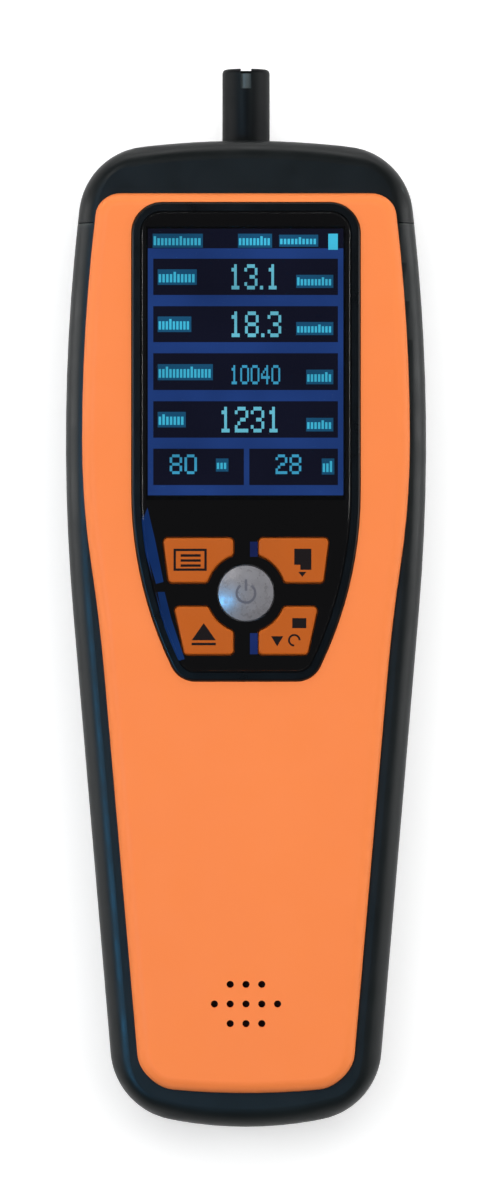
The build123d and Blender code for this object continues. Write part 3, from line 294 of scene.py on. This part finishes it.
def flank(y, inset=0.0):
    """The case's half width beside y, without its corners, less the inset."""
    handle_y = WIDEST_Y - FLANK_RADIUS * math.sin(HANDLE_TAPER)
    if y >= handle_y:
        return HALF_WIDTH - FLANK_RADIUS + math.sqrt((FLANK_RADIUS - inset) ** 2 - (y - WIDEST_Y) ** 2)
    handle_x = HALF_WIDTH - FLANK_RADIUS * (1 - math.cos(HANDLE_TAPER))
    return handle_x - (handle_y - y) * math.tan(HANDLE_TAPER) - inset / math.cos(HANDLE_TAPER)


def end_arc(y, end, radius, inset=0.0):
    """The half width of the case's crowned end at y, less the inset."""
    centre = end - math.copysign(radius, end)
    return math.sqrt(max(0.0, (radius - inset) ** 2 - (y - centre) ** 2))


class Outline:
    """The case's outline with one corner radius at the head and one at the tail."""

    def __init__(self, corners):
        self.corners = []
        ends = ((HEAD_END, HEAD_RADIUS, corners[0]), (TAIL_END, TAIL_RADIUS, corners[1]))
        for end, radius, corner in ends:
            side = math.copysign(1, end)
            y = meet(lambda y: flank(y, corner) - end_arc(y, end, radius, corner),
                     end - side * corner, end - side * corner * 1.6)
            centre = end - side * radius
            leaves_end = centre + (y - centre) * radius / (radius - corner)
            leaves_flank = WIDEST_Y + (y - WIDEST_Y) * FLANK_RADIUS / (FLANK_RADIUS - corner)
            if side < 0:
                leaves_flank = y - corner * math.sin(HANDLE_TAPER)
            self.corners.append((side, end, radius, corner, flank(y, corner), y, leaves_end, leaves_flank))

    def half(self, y):
        for side, end, radius, corner, centre_x, centre_y, leaves_end, leaves_flank in self.corners:
            if side * y > side * leaves_end:
                return end_arc(y, end, radius)
            if side * y > side * leaves_flank:
                return centre_x + math.sqrt(max(0.0, corner ** 2 - (y - centre_y) ** 2))
        return flank(y)


cad_outline, seen_outline = Outline(CAD_CORNERS), Outline(SEEN_CORNERS)


def drawn_in(x, y):
    """X of a point of the copy: the middle half stays, and the outline moves onto the rounder one."""
    full = cad_outline.half(y / MM) * MM
    past = abs(x) - full / 2
    if full < 1e-6 or past <= 0:
        return x
    return math.copysign(abs(x) - (full - seen_outline.half(y / MM) * MM) * past / (full / 2), x)


def in_corner(y):
    return y / MM > HEAD_END - HEAD_ZONE or y / MM < TAIL_END + TAIL_ZONE


def rounder(node):
    """Shows a piece of the case as a copy with rounder corners, its normals turned with it."""
    data = nodes[node].data.copy()
    kept = data.attributes.new("kept", "FLOAT_VECTOR", "CORNER")
    kept.data.foreach_set("vector", [c for normal in data.corner_normals for c in normal.vector])
    mesh = bmesh.new()
    mesh.from_mesh(data)
    for _ in range(MOST_PASSES):
        long = [e for e in mesh.edges if e.calc_length() > LONGEST_EDGE
                and any(in_corner(v.co.y) for v in e.verts)
                and abs(e.verts[0].co.y - e.verts[1].co.y) > LONGEST_EDGE / 2
                and max(abs(v.co.x) for v in e.verts) > MIDDLE]
        if not long or len(mesh.faces) > MOST_FACES:
            break
        bmesh.ops.subdivide_edges(mesh, edges=long, cuts=1)
    mesh.to_mesh(data)
    mesh.free()
    turned = []
    normals = data.attributes["kept"].data
    for loop in data.loops:
        x, y, z = data.vertices[loop.vertex_index].co
        along = (drawn_in(x + TURN_STEP, y) - drawn_in(x - TURN_STEP, y)) / (2 * TURN_STEP)
        across = (drawn_in(x, y + TURN_STEP) - drawn_in(x, y - TURN_STEP)) / (2 * TURN_STEP)
        normal = normals[loop.index].vector
        nx = normal.x / max(along, LEAST_SLOPE)
        turned.append(Vector((nx, normal.y - nx * across, normal.z)).normalized())
    for corner in data.vertices:
        corner.co.x = drawn_in(corner.co.x, corner.co.y)
    data.attributes.remove(data.attributes["kept"])
    data.normals_split_custom_set(turned)
    piece = bpy.data.objects.new("rounder_" + node, data)
    bpy.context.scene.collection.objects.link(piece)
    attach(piece, "case")
    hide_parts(node)


for node in ("front_frame", "rear_shell", "top_cap", "front_cover"):
    rounder(node)


# ================================================================ flat prints
class Print:
    """A thin flat print made of rectangles, polygons and rings, at one height."""

    def __init__(self, height, thickness=0.00002, drop=None):
        self.mesh = bmesh.new()
        self.height = height
        self.thickness = thickness
        self.drop = drop              # how far the face under the print lies below the height, at x and y

    def polygon(self, points):
        low = [self.mesh.verts.new((x, y, self.height)) for x, y in points]
        face = self.mesh.faces.new(low)
        face.normal_update()
        if face.normal.z < 0:
            face.normal_flip()
        top = bmesh.ops.extrude_face_region(self.mesh, geom=[face])
        lifted = [v for v in top["geom"] if isinstance(v, bmesh.types.BMVert)]
        bmesh.ops.translate(self.mesh, verts=lifted, vec=(0, 0, self.thickness))

    def bar(self, x0, y0, x1, y1):
        self.polygon([(x0, y0), (x1, y0), (x1, y1), (x0, y1)])

    def photo_polygon(self, points):
        """A polygon given by its corners in the photograph."""
        self.polygon([(photo_x(x), photo_y(y)) for x, y in points])

    def photo_bar(self, left, top, right, bottom):
        """A rectangle given by its edges in the photograph."""
        self.bar(photo_x(left), photo_y(bottom), photo_x(right), photo_y(top))

    def frame(self, x0, y0, x1, y1, line):
        """The outline of a rectangle, the line drawn inside it."""
        self.bar(x0, y1 - line, x1, y1)
        self.bar(x0, y0, x1, y0 + line)
        self.bar(x0, y0 + line, x0 + line, y1 - line)
        self.bar(x1 - line, y0 + line, x1, y1 - line)

    def arc(self, x, y, radius, line, start, end, steps=24):
        """A ring or part of one, from the start to the end angle in degrees."""
        for step in range(steps):
            a = math.radians(start + (end - start) * step / steps)
            b = math.radians(start + (end - start) * (step + 1) / steps)
            inner = radius - line
            self.polygon([
                (x + inner * math.cos(a), y + inner * math.sin(a)),
                (x + radius * math.cos(a), y + radius * math.sin(a)),
                (x + radius * math.cos(b), y + radius * math.sin(b)),
                (x + inner * math.cos(b), y + inner * math.sin(b)),
            ])

    def finish(self, name, material, body):
        bmesh.ops.remove_doubles(self.mesh, verts=self.mesh.verts, dist=1e-7)
        if self.drop:
            for corner in self.mesh.verts:
                corner.co.z -= self.drop(corner.co.x, corner.co.y)
        bmesh.ops.recalc_face_normals(self.mesh, faces=self.mesh.faces)
        data = bpy.data.meshes.new(name)
        self.mesh.to_mesh(data)
        self.mesh.free()
        data.materials.append(material)
        piece = bpy.data.objects.new(name, data)
        bpy.context.scene.collection.objects.link(piece)
        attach(piece, body)
        return piece


# ---------------------------------------------------------------- the lit screen
screen_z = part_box("lcd_glass")[1].z
STEP = 0.00003                # each print lies this much above the one before
FINE = 0.00001                # thickness of the prints on the mask and on the button

# boxes in the photograph are given by their left, top, right and bottom
SCREEN_PX = (148.2, 230.0, 343.0, 495.7)
# rows of cells between the blue lines: top and bottom of each
CELLS_PX = ((231.0, 249.6), (259.9, 296.1), (307.2, 343.1), (354.1, 390.8), (401.9, 438.3), (449.2, 485.5))
EDGE_PX = 5.4                 # width of the blue edges and of the line that halves the lowest row
SPLIT_PX = 246.6

panel = Print(screen_z + STEP)
panel.photo_bar(*SCREEN_PX)
panel.finish("screen_panel", glow("screen_night", srgb(15, 17, 34), 1.0, 0.12), "case")

rules = Print(screen_z + 2 * STEP)
screen_left, screen_right, screen_bottom = SCREEN_PX[0], SCREEN_PX[2], SCREEN_PX[3]
for above, below in zip(CELLS_PX, CELLS_PX[1:] + ((screen_bottom, None),)):
    rules.photo_bar(screen_left, above[1], screen_right, below[0])
for top_px, bottom_px in CELLS_PX[1:]:
    rules.photo_bar(screen_left, top_px, screen_left + EDGE_PX, bottom_px)
    rules.photo_bar(screen_right - EDGE_PX, top_px, screen_right, bottom_px)
rules.photo_bar(SPLIT_PX - EDGE_PX / 2, CELLS_PX[-1][0], SPLIT_PX + EDGE_PX / 2, CELLS_PX[-1][1])
rules.finish("screen_rules", glow("screen_blue", srgb(30, 58, 118), 1.0, 0.18), "case")

# plain figures as strokes on a grid of five columns and seven rows
FIGURES = {
    "0": "01110100011000110001100011000101110", "1": "00100011000010000100001000010001110",
    "2": "01110100010000100110010001000011111", "3": "01110100010000100110000011000101110",
    "4": "00010001100101010010111110001000010", "5": "11111100001111000001000011000101110",
    "6": "01110100001000011110100011000101110", "7": "11111000010001000100001000100001000",
    "8": "01110100011000101110100011000101110", "9": "01110100011000101111000010000101110",
}


COLUMNS, ROWS = 5, 7
FIGURE_PITCH = 6              # in columns, from one figure to the next
POINT_PITCH, POINT_WIDE = 2.4, 1.2
DOT_WIDE = 1.02               # a little over one column, so that neighbours join


def number(target, text, left_px, top_px, right_px, bottom_px):
    """Plain figures that fill the box, a point taking two fifths of a figure's width."""
    shares = sum(POINT_PITCH if sign == "." else FIGURE_PITCH for sign in text) - 1
    wide, tall = (right_px - left_px) / shares, (bottom_px - top_px) / ROWS
    x_px = left_px
    for sign in text:
        if sign == ".":
            target.photo_bar(x_px, bottom_px - tall, x_px + POINT_WIDE * wide, bottom_px)
            x_px += POINT_PITCH * wide
            continue
        for row in range(ROWS):
            for column in range(COLUMNS):
                if FIGURES[sign][COLUMNS * row + column] == "1":
                    target.photo_bar(x_px + column * wide, top_px + row * tall,
                                     x_px + (column + DOT_WIDE) * wide, top_px + (row + 1) * tall)
        x_px += FIGURE_PITCH * wide


LARGE_PX = {
    "13.1": (229, 265.5, 279, 290.5),
    "18.3": (229, 312.5, 281, 338),
    "1231": (219, 407.5, 280, 433),
}
SMALL_PX = {
    "10040": (230, 366, 280, 385),
    "80": (170, 455, 197, 474.5),
    "28": (275.5, 455, 301, 474.5),
}

figures = Print(screen_z + 3 * STEP)
for text, place in LARGE_PX.items():
    number(figures, text, *place)
figures.finish("screen_figures", glow("screen_cyan", srgb(98, 180, 200), 1.0, 0.25), "case")

small = Print(screen_z + 3 * STEP)
for text, place in SMALL_PX.items():
    number(small, text, *place)
small.finish("screen_small_figures", glow("screen_small_cyan", srgb(62, 158, 196), 1.0, 0.2),
             "case")

STROKE_PX = 3.6               # from one stroke to the next
STROKE_WIDE = 0.66            # of the pitch
STROKE_HIGH, STROKE_LOW = 1.0, 0.78  # of the row's height; every seventh stroke is a high one


def strokes(target, left_px, top_px, right_px, bottom_px, seed):
    """A plain row of close upright strokes where a label stands, which spells nothing."""
    count = max(3, round((right_px - left_px) / STROKE_PX))
    pitch = (right_px - left_px) / count
    for n in range(count):
        tall = (STROKE_HIGH if (n + seed) % 7 == 0 else STROKE_LOW) * (bottom_px - top_px)
        x_px = left_px + n * pitch
        target.photo_bar(x_px, bottom_px - tall, x_px + STROKE_WIDE * pitch, bottom_px)


# a dim wash behind each label and a bright row of strokes on it
WASH_BORDER_PX, LABEL_MARGIN_PX = 1, 1.5
BATTERY_PX = (328, 235, 337.5, 251)
LABELS_PX = (
    (154, 236, 202, 248), (239, 236, 271, 248), (280, 237, 317, 247),
    (159, 271.5, 196, 285), (159, 318.5, 190.5, 332), (159, 366, 212, 380), (159, 413.5, 185, 427),
    (297, 277, 332, 288), (297, 324, 332, 335), (307, 371.5, 332, 384), (307, 419.5, 332, 431),
    (217, 460, 227.5, 471), (322.5, 460, 333, 474),
)
wash = Print(screen_z + 2.5 * STEP)
for x0, y0, x1, y1 in LABELS_PX:
    wash.photo_bar(x0 - WASH_BORDER_PX, y0 - WASH_BORDER_PX, x1 + WASH_BORDER_PX, y1 + WASH_BORDER_PX)
wash.finish("screen_wash", glow("screen_teal", srgb(24, 78, 112), 1.0, 0.2), "case")
labels = Print(screen_z + 3 * STEP)
for seed, (x0, y0, x1, y1) in enumerate(LABELS_PX):
    strokes(labels, x0, y0 + LABEL_MARGIN_PX, x1, y1 - LABEL_MARGIN_PX, seed)
labels.photo_bar(*BATTERY_PX)
labels.finish("screen_labels", glow("screen_label", srgb(64, 182, 214), 1.0, 0.22), "case")

# ---------------------------------------------------------------- painted blue reflections at the edges of the panel and beside the keys
mask_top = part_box("lens_mask")[1].z
PAINTED_REFLECTIONS_PX = {
    "painted_reflection_flank_upper": ((143.5, 520), (148, 508), (155.5, 540), (164, 582), (156.5, 584), (147, 552)),
    "painted_reflection_flank_lower": ((158, 592), (165, 592), (171.5, 618), (185, 659), (177.5, 660), (165, 628)),
    "painted_reflection_upper_key": ((250, 542), (257.6, 542), (257.6, 557), (250, 557)),
    "painted_reflection_lower_key": ((250, 633), (257.6, 633), (257.6, 654), (250, 654)),
}
PAINTED_REFLECTION_COLOURS = {
    "painted_reflection_flank_upper": srgb(18, 46, 98),
    "painted_reflection_flank_lower": srgb(17, 44, 92),
    "painted_reflection_upper_key": srgb(30, 42, 96),
    "painted_reflection_lower_key": srgb(28, 46, 104),
}
# each is a glowing print on the mask: painted blue reflections on the bevels at the panel's left edge and
# beside the keys
for name, corners in PAINTED_REFLECTIONS_PX.items():
    light = Print(mask_top, FINE)
    light.photo_polygon(corners)
    light.finish(name, glow(name, PAINTED_REFLECTION_COLOURS[name], 1.0, 0.35), "case")

# ---------------------------------------------------------------- prints on the keys
ink = moulded("key_ink", srgb(26, 19, 18), 0.5, 0.02, 900, 0.05, gloss=0.1)
key_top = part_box("key_upper_left")[1].z

MENU_PX = (174, 549, 207, 571)
MENU_LINE = 0.0005
MENU_ROWS_PX = ((181, 554.5, 201, 557), (181, 559.5, 201, 562), (181, 564.5, 201, 567))
PAGE_PX = ((294, 549, 311, 565), (300, 565, 311, 570))
PAGE_MARK_PX = ((298, 572), (306, 572), (302, 577))
UP_MARK_PX = ((192, 640), (216, 640), (204, 623))
UP_LINE_PX = (192, 642.5, 216, 645)
TURN_BLOCK_PX = (292, 618, 306, 628)
TURN_MARK_PX = ((271, 636), (283, 636), (277, 646))
TURN_RING_PX = (294, 640)
TURN_RING_RADIUS, TURN_RING_LINE = 0.0013, 0.0004

menu = Print(key_top)
left_px, top_px, right_px, bottom_px = MENU_PX
menu.frame(photo_x(left_px), photo_y(bottom_px), photo_x(right_px), photo_y(top_px), MENU_LINE)
for row in MENU_ROWS_PX:
    menu.photo_bar(*row)
menu.finish("print_menu", ink, "key_upper_left")

page = Print(key_top)
for block in PAGE_PX:
    page.photo_bar(*block)
page.photo_polygon(PAGE_MARK_PX)
page.finish("print_page", ink, "key_upper_right")

raise_mark = Print(key_top)
raise_mark.photo_polygon(UP_MARK_PX)
raise_mark.photo_bar(*UP_LINE_PX)
raise_mark.finish("print_up", ink, "key_lower_left")

turn = Print(key_top)
turn.photo_bar(*TURN_BLOCK_PX)
turn.photo_polygon(TURN_MARK_PX)
turn.arc(photo_x(TURN_RING_PX[0]), photo_y(TURN_RING_PX[1]), TURN_RING_RADIUS, TURN_RING_LINE, 0, 270)
turn.finish("print_turn", ink, "key_lower_right")

button_low, button_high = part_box("centre_button")
button_y = (button_low.y + button_high.y) / 2
dome_reach, dome_rise = 0.00575, 0.0007
dome_radius = (dome_reach ** 2 + dome_rise ** 2) / (2 * dome_rise)


def dome_drop(x, y):
    """How far the domed button lies below its top at x and y."""
    return dome_radius - math.sqrt(dome_radius ** 2 - x ** 2 - (y - button_y) ** 2)


POWER_RADIUS, POWER_LINE = 0.0022, 0.0005
STEM_HALF_WIDTH, STEM_FOOT = 0.00027, 0.0005
STEM_BIT = 0.0004             # the stem is laid on the dome in short bits

power = Print(button_high.z, FINE, dome_drop)
power.arc(0, button_y, POWER_RADIUS, POWER_LINE, 125, 415, 36)
for n in range(6):
    foot = button_y + STEM_FOOT + n * STEM_BIT
    power.bar(-STEM_HALF_WIDTH, foot, STEM_HALF_WIDTH, foot + STEM_BIT)
power.finish("print_power", moulded("button_ink", srgb(84, 84, 96), 0.45, 0.02, 900, 0.05),
             "button_centre")

# ================================================================ stage
def plane(name, size, z, material):
    mesh = bmesh.new()
    bmesh.ops.create_grid(mesh, x_segments=1, y_segments=1, size=size / 2)
    data = bpy.data.meshes.new(name)
    mesh.to_mesh(data)
    mesh.free()
    data.materials.append(material)
    made = bpy.data.objects.new(name, data)
    made.location.z = z
    bpy.context.scene.collection.objects.link(made)
    return made


def floor_material():
    """A matte pale floor that keeps its shadows and is white to the camera where it is lit."""
    made = Nodes("floor")
    made.shader.inputs["Base Color"].default_value = (0.93, 0.93, 0.93, 1.0)
    made.shader.inputs["Roughness"].default_value = 0.9
    rays = made.add("ShaderNodeLightPath")
    seen = made.add("ShaderNodeMath", operation="MAXIMUM")
    made.link(rays.outputs["Is Camera Ray"], seen.inputs[0])
    made.link(rays.outputs["Is Transmission Ray"], seen.inputs[1])
    made.shader.inputs["Emission Color"].default_value = (1.0, 1.0, 1.0, 1.0)
    lift = made.add("ShaderNodeMath", operation="MULTIPLY")
    made.link(seen.outputs[0], lift.inputs[0])
    lift.inputs[1].default_value = 0.40
    made.link(lift.outputs[0], made.shader.inputs["Emission Strength"])
    return made.material


plane("floor", 8.0, -0.0002, floor_material())


def studio_world():
    """Pale near the floor and dark overhead, and white where the camera looks past the floor."""
    world = bpy.data.worlds.new("studio")
    bpy.context.scene.world = world
    world.use_nodes = True
    tree = world.node_tree
    background = tree.nodes["Background"]
    place = tree.nodes.new("ShaderNodeTexCoord")
    split = tree.nodes.new("ShaderNodeSeparateXYZ")
    fade = tree.nodes.new("ShaderNodeMapRange")
    fade.interpolation_type = "SMOOTHSTEP"
    fade.inputs["From Min"].default_value = 0.05
    fade.inputs["From Max"].default_value = 0.65
    fade.inputs["To Min"].default_value = 0.62
    fade.inputs["To Max"].default_value = 0.03
    rays = tree.nodes.new("ShaderNodeLightPath")
    white = tree.nodes.new("ShaderNodeMath")
    white.operation = "MAXIMUM"
    tree.links.new(place.outputs["Generated"], split.inputs["Vector"])
    tree.links.new(split.outputs["Z"], fade.inputs["Value"])
    tree.links.new(fade.outputs["Result"], white.inputs[0])
    tree.links.new(rays.outputs["Is Camera Ray"], white.inputs[1])
    tree.links.new(white.outputs["Value"], background.inputs["Strength"])
    background.inputs["Color"].default_value = (1.0, 1.0, 1.0, 1.0)


studio_world()


def softbox(name, place, aim, width, height, watts, colour=(1.0, 1.0, 1.0)):
    lamp = bpy.data.lights.new(name, "AREA")
    lamp.shape = "RECTANGLE"
    lamp.size, lamp.size_y = width, height
    lamp.energy = watts
    lamp.color = colour
    made = bpy.data.objects.new(name, lamp)
    made.visible_transmission = False
    made.location = place
    made.rotation_mode = "QUATERNION"
    made.rotation_quaternion = (Vector(aim) - Vector(place)).to_track_quat("-Z", "Y")
    bpy.context.scene.collection.objects.link(made)
    return made


# the light from above is flagged off for gloss, so that level black faces stay black
overhead = softbox("overhead", (0.0, 0.25, 1.3), (0, 0, 0), 1.3, 1.1, 14.5)
overhead.visible_glossy = False
softbox("left_side", (-0.95, 0.1, 0.20), (0, 0, 0.02), 0.3, 1.3, 4.0)
softbox("right_side", (0.95, 0.1, 0.20), (0, 0, 0.02), 0.3, 1.3, 4.0)
softbox("head_side", (0.0, 1.1, 0.30), (0, 0, 0.02), 1.2, 0.35, 2.5)
# small lights that the domed button mirrors: a cool one low on the left, a pale one at the upper left
for name, place, wide, tall, watts, tint in (
    ("cool", (-0.42, -0.14, 1.0), 0.16, 0.30, 2.8, (0.10, 0.52, 1.0)),
    ("pale", (-0.30, 0.40, 1.0), 0.20, 0.20, 0.6, (1.0, 0.98, 0.92)),
):
    mirrored = softbox(name, place, (0, 0, 0.03), wide, tall, watts, tint)
    mirrored.visible_diffuse = False

# ================================================================ camera
lens_height = PHOTO_HEIGHT / PX_PER_MM * MM * LENS / SENSOR
sight = Vector((photo_x(PHOTO_WIDTH / 2), photo_y(PHOTO_HEIGHT / 2), 0.0))
focus_z = 0.025
camera = bpy.data.cameras.new("camera")
camera.lens = LENS
camera.sensor_width = SENSOR
camera.clip_end = 20.0
eye = bpy.data.objects.new("camera", camera)
eye.location = sight + Vector((0, 0, lens_height + focus_z))
bpy.context.scene.collection.objects.link(eye)
bpy.context.scene.camera = eye

bpy.context.scene.view_settings.view_transform = "Standard"
